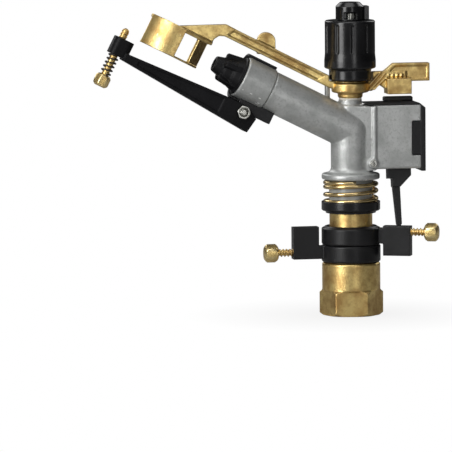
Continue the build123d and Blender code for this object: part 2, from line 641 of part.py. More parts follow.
with BuildPart() as arm_pivot_pin:
    rod(Plane.XY.offset(PIN_BOTTOM), PIN_R, PIN_TOP - PIN_BOTTOM)
    chamfer(arm_pivot_pin.edges().filter_by(GeomType.CIRCLE), PIN_BEVEL)
arm_pivot_pin.part.label = "arm_pivot_pin"
export_step(arm_pivot_pin.part, "parts/arm_pivot_pin.step")

with BuildPart() as arm_washer:
    ring(PIN_R, ARM_WASHER_R, (POST_TOP, HUB_BOTTOM))
arm_washer.part.label = "arm_washer"
export_step(arm_washer.part, "parts/arm_washer.step")

with BuildPart() as pivot_nut:
    nut_height = PIVOT_NUT[1] - PIVOT_NUT[0]
    bevelled_bar(Plane.XY.offset(PIVOT_NUT[0]), PIVOT_NUT_ACROSS, 6, nut_height, PIVOT_NUT_BEVEL)
    rod(Plane.XY.offset(PIVOT_NUT[0]), PIN_R, nut_height, mode=Mode.SUBTRACT)
pivot_nut.part.label = "pivot_nut"
export_step(pivot_nut.part, "parts/pivot_nut.step")

with BuildPart() as spring_housing:
    cap = [(CAP_RING_R - CAP_WALL, CAP_RING[0]), (CAP_RING_R, CAP_RING[0]), (CAP_RING_R, CAP_RING[1])]
    cap += [(CAP_SKIRT_R - CAP_EDGE, CAP_RING[1] + CAP_EDGE), (CAP_SKIRT_R, CAP_BODY_BOTTOM)]
    cap += [(CAP_SKIRT_R, CAP_SKIRT_TOP), (CAP_R, CAP_FLARE_TOP), (CAP_R, CAP_TOP - CAP_EDGE)]
    cap += [(CAP_R - CAP_EDGE, CAP_TOP), (CAP_HOLE_R, CAP_TOP), (CAP_HOLE_R, CAP_TOP - CAP_WALL)]
    cap += [(CAP_R - CAP_WALL, CAP_TOP - CAP_WALL), (CAP_R - CAP_WALL, CAP_BODY_BOTTOM + CAP_WALL)]
    cap += [(CAP_RING_R - CAP_WALL, CAP_RING[1])]
    turned(FRONT, cap)
    with BuildSketch(Plane.XY.offset(CAP_GROOVE_Z[0])) as flutes:
        with PolarLocations(CAP_R, CAP_GROOVES, start_angle=CAP_GROOVE_START):
            Rectangle(2 * CAP_GROOVE_DEPTH, 2 * CAP_GROOVE_HALF)
    extrude(flutes.sketch, amount=CAP_GROOVE_Z[1] - CAP_GROOVE_Z[0], mode=Mode.SUBTRACT)
spring_housing.part.label = "spring_housing"
export_step(spring_housing.part, "parts/spring_housing.step")

with BuildPart() as arm_spring:
    coil(Plane.XY.offset(ARM_SPRING[0] + ARM_SPRING_WIRE_R), ARM_SPRING_R, ARM_SPRING_WIRE_R,
         ARM_SPRING[1] - ARM_SPRING[0] - 2 * ARM_SPRING_WIRE_R, ARM_SPRING_TURNS)
arm_spring.part.label = "arm_spring"
export_step(arm_spring.part, "parts/arm_spring.step")

with BuildPart() as mechanism_cover:
    corner_x = COVER_X[1] - COVER_CORNER[0]
    corner_z = COVER_TOP - COVER_CORNER[1]
    wall = [(BOX_X[1], COVER_BOTTOM), (COVER_X[1], COVER_BOTTOM), (COVER_X[1], corner_z), (corner_x, COVER_TOP)]
    wall += [(COVER_PLATE_X, COVER_TOP), (COVER_PLATE_X, BOX_Z[1]), (BOX_X[1], BOX_Z[1])]
    slab(FRONT, wall, COVER_SIDE, both=True)
    block((NOTCH_X + LOOSE, BOX_X[1]), COVER_TONGUE, (NOTCH_Z[0] + LOOSE, NOTCH_Z[1] - LOOSE))
    block(stem_room, stem_side, (BOX_Z[1] - OVERCUT, COVER_TOP + OVERCUT), Mode.SUBTRACT)
    rod(facing_x(BOX_X[1] - OVERCUT, LEVER_PIVOT_Z), LEVER_PIN_R, LEVER_PIN_X[1] - BOX_X[1] + OVERCUT,
        mode=Mode.SUBTRACT)
mechanism_cover.part.label = "mechanism_cover"
export_step(mechanism_cover.part, "parts/mechanism_cover.step")

with BuildPart() as housing_screw:
    screw_plane = facing_front(BOSS_POINT[0], BOSS_FRONT, BOSS_POINT[1])
    rod(screw_plane, SCREW_HEAD_R, SCREW_HEAD)
    chamfer(housing_screw.edges().group_by(Axis.Y)[0], SCREW_HEAD_EDGE)
    rod(screw_plane, SCREW_SHANK_R, -(SCREW_LENGTH - SCREW_HEAD - SCREW_HEAD_EDGE))
    slot_depth = (-BOSS_FRONT - SCREW_HEAD - OVERCUT, -BOSS_FRONT - SCREW_HEAD / 2)
    slot_reach = SCREW_HEAD_R + OVERCUT
    block((BOSS_POINT[0] - SCREW_SLOT / 2, BOSS_POINT[0] + SCREW_SLOT / 2), slot_depth,
          (BOSS_POINT[1] - slot_reach, BOSS_POINT[1] + slot_reach), Mode.SUBTRACT)
housing_screw.part.label = "housing_screw"
export_step(housing_screw.part, "parts/housing_screw.step")

with BuildPart() as lever_pivot_pin:
    rod(facing_x(LEVER_PIN_X[0], LEVER_PIVOT_Z), LEVER_PIN_R, LEVER_PIN_X[1] - LEVER_PIN_X[0])
lever_pivot_pin.part.label = "lever_pivot_pin"
export_step(lever_pivot_pin.part, "parts/lever_pivot_pin.step")

with BuildPart() as toggle_spring:
    toggle_foot = Plane(origin=(TOGGLE_X, 0, TOGGLE_Z[0] + TOGGLE_WIRE_R))
    coil(toggle_foot, TOGGLE_R, TOGGLE_WIRE_R, TOGGLE_Z[1] - TOGGLE_Z[0] - 2 * TOGGLE_WIRE_R, TOGGLE_TURNS)
toggle_spring.part.label = "toggle_spring"
export_step(toggle_spring.part, "parts/toggle_spring.step")

with BuildPart() as breaker_saddle:
    with BuildSketch(across_jet(SADDLE[0])) as strap:
        with BuildLine():
            outer_arc = CenterArc((0, 0), SADDLE_R, SADDLE_START, SADDLE_SWEEP)
            inner_arc = CenterArc((0, 0), COLLAR_R, SADDLE_START, SADDLE_SWEEP)
            Line(outer_arc @ 0, inner_arc @ 0)
            Line(outer_arc @ 1, inner_arc @ 1)
        make_face()
    extrude(strap.sketch, amount=SADDLE[1] - SADDLE[0])
    bracket = [(BRACKET_U[0], BRACKET_W[1]), (BRACKET_U[0], BRACKET_W[0]), (BRACKET_U[1], BRACKET_W[0])]
    slab(JET_SIDE, bracket + [(BRACKET_U[1], BRACKET_W[1])], BRACKET_HALF, both=True)
    eye_plane = Plane(origin=jet_point(BOLT_U, BOLT_W), x_dir=JET, z_dir=-TO_FRONT)
    rod(eye_plane, BOLT_EYE_R, BRACKET_HALF, both=True)
    rod(across_jet(0), BARREL_R, BARREL_END, mode=Mode.SUBTRACT)
    rod(across_jet(BARREL_END), COLLAR_R, SADDLE[1] - BARREL_END, mode=Mode.SUBTRACT)
    rod(eye_plane, BOLT_R, BRACKET_HALF + OVERCUT, both=True, mode=Mode.SUBTRACT)
breaker_saddle.part.label = "breaker_saddle"
export_step(breaker_saddle.part, "parts/breaker_saddle.step")

with BuildPart() as breaker_bolt:
    shank_half = BREAKER_HALF + RUNNING
    rod(eye_plane, BOLT_R, shank_half)
    rod(eye_plane, BOLT_R, -(shank_half + NUT_THICK - NUT_MOUTH_DEPTH))
    rod(eye_plane, BOLT_END_R, -(shank_half + NUT_THICK + BOLT_SHOW))
    bolt_head = Plane(origin=jet_point(BOLT_U, BOLT_W, shank_half), x_dir=JET, z_dir=-TO_FRONT)
    prism(bolt_head, NUT_ACROSS, 6, BOLT_HEAD_THICK, NUT_TURN)
breaker_bolt.part.label = "breaker_bolt"
export_step(breaker_bolt.part, "parts/breaker_bolt.step")

with BuildPart() as breaker_nut:
    nut_foot = Plane(origin=jet_point(BOLT_U, BOLT_W, -shank_half), x_dir=JET, z_dir=TO_FRONT)
    bevelled_bar(nut_foot, NUT_ACROSS, 6, NUT_THICK, NUT_BEVEL, NUT_TURN)
    mouth_side = Plane(origin=nut_foot.origin, x_dir=JET, z_dir=UPRIGHT)
    mouth = [(0, 0), (BOLT_R, 0), (BOLT_R, NUT_THICK - NUT_MOUTH_DEPTH), (NUT_MOUTH_R, NUT_THICK)]
    turned(mouth_side, mouth + [(0, NUT_THICK)], Axis(nut_foot.origin, TO_FRONT), Mode.SUBTRACT)
breaker_nut.part.label = "breaker_nut"
export_step(breaker_nut.part, "parts/breaker_nut.step")

# ================================================================ impact arm
with BuildPart() as impact_arm:
    # hub
    hub = [(0, HUB_BOTTOM), (HUB_FOOT_R - HUB_EDGE, HUB_BOTTOM), (HUB_FOOT_R, HUB_BOTTOM + HUB_EDGE)]
    hub += [(HUB_FOOT_R, HUB_STEP - HUB_EDGE), (HUB_R - HUB_EDGE, HUB_STEP), (HUB_R, HUB_STEP + HUB_EDGE)]
    hub += [(HUB_R, HUB_SHOULDER - HUB_EDGE), (HUB_R - HUB_EDGE, HUB_SHOULDER), (HUB_RING_R, HUB_SHOULDER)]
    turned(FRONT, hub + [(HUB_RING_R, HUB_TOP), (0, HUB_TOP)])
    # beam with its drop to the spoon, and a recess in both its sides
    slab(JET_SIDE, BEAM_SIDE, BEAM_HALF, both=True)
    for side in (-1, 1):
        recess_floor = JET_SIDE.offset(side * (BEAM_HALF - BEAM_RECESS))
        slab(recess_floor, BEAM_POCKET, side * 2 * BEAM_RECESS, mode=Mode.SUBTRACT)
    # upright lug on the beam
    lug_edges = (LUG_POINT[0] - LUG_R, LUG_POINT[0] + LUG_R)
    lug_foot = LUG_POINT[1] - LUG_FOOT
    lug = [(lug_edges[0], lug_foot), (lug_edges[1], lug_foot), (lug_edges[1], LUG_POINT[1])]
    slab(FRONT, lug + [(lug_edges[0], LUG_POINT[1])], LUG_HALF, both=True)
    rod(facing_front(LUG_POINT[0], 0, LUG_POINT[1]), LUG_R, LUG_HALF, both=True)
    # spoon: top plate, floor, straight inner vane and curved outer vane
    with BuildSketch(over_jet(SPOON_TOP_PLATE)) as top_plate:
        with BuildLine():
            ThreePointArc(*SPOON_ARC)
            Polyline(SPOON_ARC[2], SPOON_PLATE_CORNER, *SPOON_PLATE_EDGE)
        make_face()
    extrude(top_plate.sketch, amount=SPOON_HIGH - SPOON_TOP_PLATE)
    with BuildSketch(over_jet(SPOON_LOW)) as floor_rail:
        with BuildLine():
            ThreePointArc(*SPOON_ARC)
            Polyline(SPOON_ARC[2], SPOON_RAIL_CORNER, *SPOON_RAIL_EDGE)
        make_face()
    extrude(floor_rail.sketch, amount=SPOON_FLOOR - SPOON_LOW)
    with BuildSketch(over_jet(SPOON_LOW)) as vanes_plan:
        with BuildLine():
            Polyline(*INNER_VANE, close=True)
        make_face()
        with BuildLine():
            ThreePointArc(*SPOON_ARC)
            ThreePointArc(*SPOON_INNER_ARC)
            Line(SPOON_ARC[0], SPOON_INNER_ARC[2])
            Line(SPOON_ARC[2], SPOON_INNER_ARC[0])
        make_face()
    extrude(vanes_plan.sketch, amount=SPOON_HIGH - SPOON_LOW)
    # tail plate with a pocket, diagonal ribs and cast marks on both its sides, and the hammer under it
    slab(FRONT, TAIL_SIDE, TAIL_HALF, both=True)
    for side in (-1, 1):
        pocket_floor = FRONT.offset(side * (TAIL_HALF - TAIL_POCKET_DEPTH))
        slab(pocket_floor, TAIL_POCKET, side * 2 * TAIL_POCKET_DEPTH, mode=Mode.SUBTRACT)
        for low_end, high_end in TAIL_RIBS:
            rib = [low_end, (low_end[0] + TAIL_RIB_WIDTH, low_end[1])]
            rib += [(high_end[0] + TAIL_RIB_WIDTH, high_end[1]), high_end]
            slab(FRONT.offset(side * TAIL_HALF), rib, side * TAIL_RIB_STAND)
        for mark_x in CAST_MARKS_X:
            with Locations((mark_x, side * TAIL_HALF, CAST_MARKS_Z)):
                Sphere(CAST_MARK_R)
    block(HAMMER_X, (-HAMMER_FRONT, TAIL_HALF), HAMMER_Z)
    # clearance for the spring housing, and the bore for the bushing
    ring(0, CAP_RING_R + CAP_ROOM, (HUB_TOP, CAP_BODY_BOTTOM), Mode.SUBTRACT)
    ring(0, CAP_SKIRT_R + CAP_ROOM, (CAP_RING[1], CAP_TOP), Mode.SUBTRACT)
    ring(0, BUSHING_R, (HUB_BOTTOM - OVERCUT, HUB_TOP + OVERCUT), Mode.SUBTRACT)
impact_arm.part.label = "impact_arm"
export_step(impact_arm.part, "parts/impact_arm.step")

with BuildPart() as arm_bushing:
    ring(PIN_R + RUNNING, BUSHING_R, (HUB_BOTTOM, HUB_TOP))
arm_bushing.part.label = "arm_bushing"
export_step(arm_bushing.part, "parts/arm_bushing.step")

# ================================================================ trip mechanism
LEAN = radians(LEVER_REST)
LEVER_UP = Vector(0, sin(LEAN), cos(LEAN))
LEVER_PLANE = Plane(origin=(0, 0, LEVER_PIVOT_Z), x_dir=(1, 0, 0), z_dir=Vector(1, 0, 0).cross(LEVER_UP))
CRANK_POINT = Vector(0, 0, LEVER_PIVOT_Z) + LEVER_UP * CRANK_LENGTH
with BuildPart() as trip_lever:
    slab(LEVER_PLANE, LEVER_BODY, LEVER_BODY_HALF, both=True)
    slab(LEVER_PLANE, LEVER_SHOULDER, LEVER_HALF, both=True)
    slab(LEVER_PLANE, LEVER_POINTER, POINTER_HALF, both=True)
    crank_plane = Plane(origin=CRANK_POINT + Vector(CRANK_X[0], 0, 0), x_dir=(0, 1, 0), z_dir=(1, 0, 0))
    rod(crank_plane, CRANK_PIN_R, CRANK_PIN_END - CRANK_X[0])
    rod(facing_x(CAVITY_X, LEVER_PIVOT_Z), LEVER_PIN_R + RUNNING, BOX_X[1] - CAVITY_X, mode=Mode.SUBTRACT)
trip_lever.part.label = "trip_lever"
export_step(trip_lever.part, "parts/trip_lever.step")

with BuildPart() as reversing_dog:
    slide_plane = facing_x(DOG_X[0], 0)
    plate = [(CRANK_POINT.Y + y, CRANK_POINT.Z + z) for y, z in DOG_FOOT]
    plate += [(DOG_STEM_Y[1], CRANK_POINT.Z + DOG_RIGHT), (DOG_STEM_Y[1], DOG_SHOULDER_Z)]
    plate += [(DOG_STEM_Y[0], DOG_SHOULDER_Z), (CRANK_POINT.Y + DOG_LEFT[0], CRANK_POINT.Z + DOG_LEFT[1])]
    slab(slide_plane, plate, DOG_X[1] - DOG_X[0])
    block(DOG_STEM_X, DOG_STEM_Y, (DOG_STEM_BOTTOM, DOG_PAD_Z[0]))
    block(DOG_PAD_X, DOG_PAD_Y, DOG_PAD_Z)
    chamfer(reversing_dog.edges().group_by(Axis.Z)[-1], DOG_PAD_EDGE)
    with BuildSketch(slide_plane) as slot:
        with Locations((CRANK_POINT.Y - DOG_SLOT_OFFSET, CRANK_POINT.Z - DOG_SLOT_OFFSET)):
            SlotCenterToCenter(DOG_SLOT_REACH, 2 * DOG_SLOT_HALF, rotation=DOG_SLOT_ANGLE)
    extrude(slot.sketch, amount=DOG_X[1] - DOG_X[0], mode=Mode.SUBTRACT)
reversing_dog.part.label = "reversing_dog"
export_step(reversing_dog.part, "parts/reversing_dog.step")


# ================================================================ stop collars
def upright_slab(plane, z, amount):
    """A bar as wide as a collar's tab, between two heights, pushed out of a plane that faces outwards."""
    slab(plane, [(-TAB_HALF, z[0]), (TAB_HALF, z[0]), (TAB_HALF, z[1]), (-TAB_HALF, z[1])], amount)


def stop_collar(z, top_cone, angle, tab_outer, tab_z, screw_z):
    """A collar with one tab at the angle, bored through the tab for its clamping screw."""
    collar_side = [(STOP_BORE_R, z[0]), (STOP_R - STOP_BEVEL, z[0]), (STOP_R, z[0] + STOP_BEVEL)]
    collar_side += [(STOP_R, z[1] - STOP_BEVEL), (STOP_R - STOP_BEVEL, z[1])] + top_cone + [(STOP_BORE_R, z[1])]
    turned(FRONT, collar_side)
    upright_slab(ray_plane(angle, TAB_INNER, 0), tab_z, tab_outer - TAB_INNER)
    bridge_z = (max(z[0] + TAB_BRIDGE_Z[0], tab_z[0]), min(z[1] - TAB_BRIDGE_Z[1], tab_z[1]))
    upright_slab(ray_plane(angle, TAB_ROOT, 0), bridge_z, TAB_INNER - TAB_ROOT + OVERCUT)
    rod(ray_plane(angle, 0, screw_z), STOP_SCREW_R + RUNNING, tab_outer + OVERCUT, mode=Mode.SUBTRACT)


def stop_screw(angle, z, head):
    """A coarse brass thumb screw lying on a level ray."""
    bevelled_bar(ray_plane(angle, head[0], z), STOP_HEAD_ACROSS, 6, head[1] - head[0], STOP_HEAD_BEVEL)
    shank = thread_profile(head[0] - STOP_SCREW_TIP, STOP_SCREW_R, STOP_SCREW_ROOT_R, STOP_SCREW_PITCH)
    start = ray_plane(angle, STOP_SCREW_TIP, z)
    side = Plane(origin=start.origin, x_dir=start.z_dir, z_dir=start.x_dir)
    turned(side, [(0, 0)] + shank + [(head[0] - STOP_SCREW_TIP, 0)], Axis(start.origin, start.z_dir))


with BuildPart() as lower_stop_collar:
    stop_collar(LOWER_STOP, [], LOWER_TAB_ANGLE, LOWER_TAB_OUTER, LOWER_TAB, LOWER_SCREW_Z)
lower_stop_collar.part.label = "lower_stop_collar"
export_step(lower_stop_collar.part, "parts/lower_stop_collar.step")

with BuildPart() as upper_stop_collar:
    stop_collar(UPPER_STOP, UPPER_STOP_CONE, UPPER_TAB_ANGLE, UPPER_TAB_OUTER, UPPER_TAB, UPPER_SCREW_Z)
upper_stop_collar.part.label = "upper_stop_collar"
export_step(upper_stop_collar.part, "parts/upper_stop_collar.step")

with BuildPart() as lower_stop_screw:
    stop_screw(LOWER_TAB_ANGLE, LOWER_SCREW_Z, LOWER_SCREW_HEAD)
lower_stop_screw.part.label = "lower_stop_screw"
export_step(lower_stop_screw.part, "parts/lower_stop_screw.step")

with BuildPart() as upper_stop_screw:
    stop_screw(UPPER_TAB_ANGLE, UPPER_SCREW_Z, UPPER_SCREW_HEAD)
upper_stop_screw.part.label = "upper_stop_screw"
export_step(upper_stop_screw.part, "parts/upper_stop_screw.step")

# ================================================================ jet breaker
with BuildPart() as breaker_arm:
    slab(JET_SIDE, BREAKER_SIDE, BREAKER_HALF, both=True)
    slab(JET_SIDE, BREAKER_CHANNEL, CHEEK_INNER, both=True, mode=Mode.SUBTRACT)
    for side in (-1, 1):
        groove_floor = JET_SIDE.offset(side * (BREAKER_HALF - BREAKER_GROOVE_DEPTH))
        slab(groove_floor, BREAKER_GROOVE, side * 2 * BREAKER_GROOVE_DEPTH, mode=Mode.SUBTRACT)
    with BuildSketch(over_jet(BLOCK_W[0])) as block_plan:
        with Locations(((BLOCK_U[0] + BLOCK_U[1]) / 2, 0)):
            RectangleRounded(BLOCK_U[1] - BLOCK_U[0], 2 * BLOCK_HALF, BLOCK_ROUND)
    extrude(block_plan.sketch, amount=BLOCK_W[1] - BLOCK_W[0])
    rod(eye_plane, BOLT_R + RUNNING, BREAKER_HALF + OVERCUT, both=True, mode=Mode.SUBTRACT)
    pin_hole = Plane(origin=jet_point(PIN_SCREW_U, BLOCK_W[0] - OVERCUT), x_dir=JET, z_dir=UPRIGHT)
    rod(pin_hole, PIN_SCREW_R + RUNNING, BLOCK_W[1] - BLOCK_W[0] + 2 * OVERCUT, mode=Mode.SUBTRACT)
breaker_arm.part.label = "breaker_arm"
export_step(breaker_arm.part, "parts/breaker_arm.step")

with BuildPart() as breaker_screw:
    head_foot = Plane(origin=jet_point(PIN_SCREW_U, PIN_SCREW_HEAD_W[0]), x_dir=JET, z_dir=UPRIGHT)
    head_length = PIN_SCREW_HEAD_W[1] - PIN_SCREW_HEAD_W[0]
    bevelled_bar(head_foot, PIN_SCREW_ACROSS, 6, head_length, PIN_SCREW_BEVEL, PIN_SCREW_TURN)
    shank_length = PIN_SCREW_TIP_W - PIN_SCREW_HEAD_W[1]
    pin_side = Plane(origin=jet_point(PIN_SCREW_U, PIN_SCREW_HEAD_W[1]), x_dir=UPRIGHT, z_dir=TO_FRONT)
    pin = [(0, 0), (0, PIN_SCREW_R), (shank_length - PIN_SCREW_POINT[0], PIN_SCREW_R)]
    pin += [(shank_length, PIN_SCREW_POINT[1]), (shank_length, 0)]
    turned(pin_side, pin, Axis(pin_side.origin, UPRIGHT))
breaker_screw.part.label = "breaker_screw"
export_step(breaker_screw.part, "parts/breaker_screw.step")

with BuildPart() as breaker_lock_spring:
    coil_ends = LOCK_SPRING_WIRE_R + RUNNING
    coil_foot = Plane(origin=jet_point(PIN_SCREW_U, PIN_SCREW_HEAD_W[1] + coil_ends), x_dir=JET, z_dir=UPRIGHT)
    coil_rise = BLOCK_W[0] - PIN_SCREW_HEAD_W[1] - 2 * coil_ends
    coil(coil_foot, LOCK_SPRING_R, LOCK_SPRING_WIRE_R, coil_rise, LOCK_SPRING_TURNS)
breaker_lock_spring.part.label = "breaker_lock_spring"
export_step(breaker_lock_spring.part, "parts/breaker_lock_spring.step")

# ================================================================ tension knob
with BuildPart() as tension_knob:
    stem_r = CAP_HOLE_R - RUNNING
    knob = [(0, KNOB_STEM_BOTTOM), (stem_r, KNOB_STEM_BOTTOM), (stem_r, KNOB_BASE), (KNOB_R, KNOB_BASE)]
    knob += [(KNOB_R, KNOB_TOP - KNOB_BEVEL), (KNOB_R - KNOB_BEVEL, KNOB_TOP), (0, KNOB_TOP)]
    turned(FRONT, knob)
    block((0, KNOB_TAB_X), (-KNOB_TAB_HALF, KNOB_TAB_HALF), KNOB_TAB)
    block(KNOB_WINDOW_X, (-KNOB_R - OVERCUT, -KNOB_WINDOW_BACK), KNOB_WINDOW_Z, Mode.SUBTRACT)
    bore_depth = KNOB_BORE_TOP - KNOB_STEM_BOTTOM
    rod(Plane.XY.offset(KNOB_STEM_BOTTOM), PIN_R + RUNNING, bore_depth, mode=Mode.SUBTRACT)
tension_knob.part.label = "tension_knob"
export_step(tension_knob.part, "parts/tension_knob.step")
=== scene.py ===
"""Looks of a part-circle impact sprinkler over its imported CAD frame. Metres, +Z up, the front is -Y."""

import json
import math

import bpy
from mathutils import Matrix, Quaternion, Vector


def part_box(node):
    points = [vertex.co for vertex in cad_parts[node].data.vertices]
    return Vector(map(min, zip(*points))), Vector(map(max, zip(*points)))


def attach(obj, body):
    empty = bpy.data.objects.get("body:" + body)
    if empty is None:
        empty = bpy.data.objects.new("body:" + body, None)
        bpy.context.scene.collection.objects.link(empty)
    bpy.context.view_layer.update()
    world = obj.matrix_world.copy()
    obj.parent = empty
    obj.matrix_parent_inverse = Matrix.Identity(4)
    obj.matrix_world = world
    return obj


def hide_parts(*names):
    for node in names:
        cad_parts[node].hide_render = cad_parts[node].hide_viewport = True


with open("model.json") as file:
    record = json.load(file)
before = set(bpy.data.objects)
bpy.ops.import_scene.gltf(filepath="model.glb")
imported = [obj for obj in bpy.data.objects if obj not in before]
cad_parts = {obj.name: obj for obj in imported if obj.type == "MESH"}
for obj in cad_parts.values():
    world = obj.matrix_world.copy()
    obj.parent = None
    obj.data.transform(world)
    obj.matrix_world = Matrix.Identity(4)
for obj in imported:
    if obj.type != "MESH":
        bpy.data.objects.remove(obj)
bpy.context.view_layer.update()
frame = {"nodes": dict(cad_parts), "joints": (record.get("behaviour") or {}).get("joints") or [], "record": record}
MM = 0.001
UP = Vector((0, 0, 1))

# ---------------------------------------------------------------- view
# angles in degrees, the lens in millimetres, distances in metres
VIEW_AZIMUTH = -11.0
VIEW_ELEVATION = 5.5
VIEW_ROLL = -0.43
VIEW_LENS = 551.0
VIEW_DISTANCE = 5.0
AIM_RIGHT = -0.0902
AIM_UP = 0.0644

# ---------------------------------------------------------------- sizes of the redrawn pieces, in millimetres
# the springs' wires are given by their radius
BEARING_WIRE = 1.5
# heights of the bearing spring's wire at the front, one for each turn
BEARING_TURN_HEIGHTS = (80.3, 83.0, 88.7, 94.2, 96.5)
LOCK_WIRE = 0.6
LOCK_RADIUS = 3.7
LOCK_HALF = 7.4
LOCK_TURNS = 5
# the breaker pin from its tip above the lock spring's middle down to its head
PIN_TIP = 28.4
PIN_SHANK = 36.5
PIN_HEAD = 9.2
PIN_ACROSS = 10.0
# threads: outer radius, root radius and pitch
PIN_THREAD = (2.75, 2.55, 2.6)
# the stop screws from their tips' distance to the upright axis out to their heads
STOP_TIP = 15.7
LOWER_SHANK = 38.3
UPPER_SHANK = 38.7
STOP_HEAD = 9.9
STOP_ACROSS = 11.6
STOP_THREAD = (2.85, 2.0, 2.5)
HEAD_BEVEL = 1.3
# how far along the head, in bevels, its coned end meets the flats and the corners
CONE_TO_FLAT = 0.7
CONE_TO_CORNER = 1.6
# a thread's height is kept to 0 to 1: CREST_LEVEL at its middle, less CREST_FALL for each pitch away
CREST_LEVEL = 1.7
CREST_FALL = 5.2
THREAD_ROWS_PER_PITCH = 16
# a rounded tip starts at this share of the root radius, so that its end face isn't a point
TIP_LEAST = 0.1
SCREW_SIDES = 48
WIRE_SIDES = 14
STEPS_PER_TURN = 48
CRISP_ANGLE = math.radians(38)


def joint_axis(name):
    """The direction of a joint in the record."""
    return Vector(next(joint["axis"] for joint in frame["joints"] if joint["name"] == name))


def middle(node):
    """The centre of a CAD node's box."""
    low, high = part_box(node)
    return (Vector(low) + Vector(high)) / 2


# ---------------------------------------------------------------- materials
# the stretch of a noise texture's values over which each effect comes in
PATCH_SPAN = (0.38, 0.66)
SPECK_SPAN = (0.52, 0.72)
GLOSS_SPAN = (0.30, 0.70)
SPECKS_TO_GRAIN = 0.55
# pointiness is 0.5 on a flat stretch, less in a hollow and more on an edge; the hollows get a painted shade
HOLLOW_SPAN = (0.49, 0.43)
# edges get a lighter colour that stands for both wear and a painted highlight
EDGE_SPAN = (0.52, 0.60)
# share of the dark colour kept in the painted shade of the hollows
HOLLOW_SHADE = 0.35


def add_node(tree, kind, **settings):
    """A shader node with its settings: attributes by name, inputs by 'in_' plus the socket's name."""
    made = tree.nodes.new(kind)
    for key, value in settings.items():
        if key.startswith("in_"):
            made.inputs[key[3:].replace("_", " ")].default_value = value
        else:
            setattr(made, key, value)
    return made


def mix_colour(tree, factor, first, second):
    """A colour mix's output; factor is a socket, and first and second are sockets or colours."""
    mix = add_node(tree, "ShaderNodeMix", data_type="RGBA")
    for socket, value in ((mix.inputs[0], factor), (mix.inputs[6], first), (mix.inputs[7], second)):
        if isinstance(value, tuple):
            socket.default_value = (*value, 1)
        else:
            tree.links.new(value, socket)
    return mix.outputs[2]


def ranged(tree, value, span, low=0.0, high=1.0):
    """Maps a span of values onto low to high, clamped."""
    made = add_node(tree, "ShaderNodeMapRange", in_From_Min=span[0], in_From_Max=span[1])
    made.inputs["To Min"].default_value = low
    made.inputs["To Max"].default_value = high
    tree.links.new(value, made.inputs["Value"])
    return made.outputs["Result"]


def surface(name, base, dark, light, metallic, rough, patch=120.0, grain=1400.0, bump=0.25,
            grain_depth=0.00012, worn_and_highlit_edge=0.6, painted_hollow_shade=0.8, rough_spread=0.14, shine=0.5, speckle=0.25):
    """A procedural surface: patchy colour, lighter edges for both wear and a painted highlight, painted shade in
    the hollows, varied gloss and fine grain.

    The patch and grain scales are per metre, and the grain depth is in metres.
    """
    material = bpy.data.materials.new(name)
    material.use_nodes = True
    tree = material.node_tree
    shader = tree.nodes["Principled BSDF"]
    place = add_node(tree, "ShaderNodeTexCoord").outputs["Object"]
    patches = add_node(tree, "ShaderNodeTexNoise", in_Scale=patch, in_Detail=5.0, in_Roughness=0.6)
    specks = add_node(tree, "ShaderNodeTexNoise", in_Scale=grain * SPECKS_TO_GRAIN, in_Detail=2.0)
    grains = add_node(tree, "ShaderNodeTexNoise", in_Scale=grain, in_Detail=4.0, in_Roughness=0.55)
    for texture in (patches, specks, grains):
        tree.links.new(place, texture.inputs["Vector"])
    colour = mix_colour(tree, ranged(tree, patches.outputs["Fac"], PATCH_SPAN), base, dark)
    colour = mix_colour(tree, ranged(tree, specks.outputs["Fac"], SPECK_SPAN, high=speckle), colour, dark)
    bend = add_node(tree, "ShaderNodeNewGeometry").outputs["Pointiness"]
    shaded = tuple(channel * HOLLOW_SHADE for channel in dark)
    # painted shade darkens the hollows
    colour = mix_colour(tree, ranged(tree, bend, HOLLOW_SPAN, high=painted_hollow_shade), colour, shaded)
    # lighter edges, for both wear and a painted highlight
    colour = mix_colour(tree, ranged(tree, bend, EDGE_SPAN, high=worn_and_highlit_edge), colour, light)
    tree.links.new(colour, shader.inputs["Base Color"])
    half_spread = rough_spread / 2
    gloss = ranged(tree, patches.outputs["Fac"], GLOSS_SPAN, rough - half_spread, rough + half_spread)
    tree.links.new(gloss, shader.inputs["Roughness"])
    shader.inputs["Metallic"].default_value = metallic
    shader.inputs["Specular IOR Level"].default_value = shine
    relief = add_node(tree, "ShaderNodeBump", in_Strength=bump, in_Distance=grain_depth)
    tree.links.new(grains.outputs["Fac"], relief.inputs["Height"])
    tree.links.new(relief.outputs["Normal"], shader.inputs["Normal"])
    return material


CAST_BRASS = surface(
    "cast_brass", (0.88, 0.67, 0.27), (0.50, 0.31, 0.11), (1.0, 0.89, 0.53), metallic=1.0, rough=0.36,
    patch=95, grain=900, bump=0.5, grain_depth=0.00022, worn_and_highlit_edge=0.75, speckle=0.45)
TURNED_BRASS = surface(
    "turned_brass", (0.90, 0.69, 0.30), (0.55, 0.33, 0.09), (0.98, 0.82, 0.45), metallic=1.0, rough=0.24,
    patch=140, grain=1500, bump=0.2, worn_and_highlit_edge=0.7)
SPRING_WIRE = surface(
    "spring_wire", (0.72, 0.54, 0.24), (0.42, 0.28, 0.11), (0.98, 0.86, 0.55), metallic=1.0, rough=0.22,
    patch=160, grain=1800, bump=0.15)
DARK_WIRE = surface(
    "dark_wire", (0.03, 0.027, 0.024), (0.015, 0.013, 0.012), (0.10, 0.09, 0.07), metallic=0.3, rough=0.35)
CAST_ALUMINIUM = surface(
    "cast_aluminium", (0.53, 0.54, 0.53), (0.36, 0.37, 0.36), (0.92, 0.93, 0.91), metallic=0.65, rough=0.42,
    patch=60, grain=1000, bump=0.7, grain_depth=0.00028, worn_and_highlit_edge=0.85, painted_hollow_shade=0.6, speckle=0.8)
STEEL = surface(
    "steel", (0.50, 0.50, 0.47), (0.28, 0.28, 0.25), (0.8, 0.8, 0.76), metallic=1.0, rough=0.25,
    grain=1800, bump=0.15)
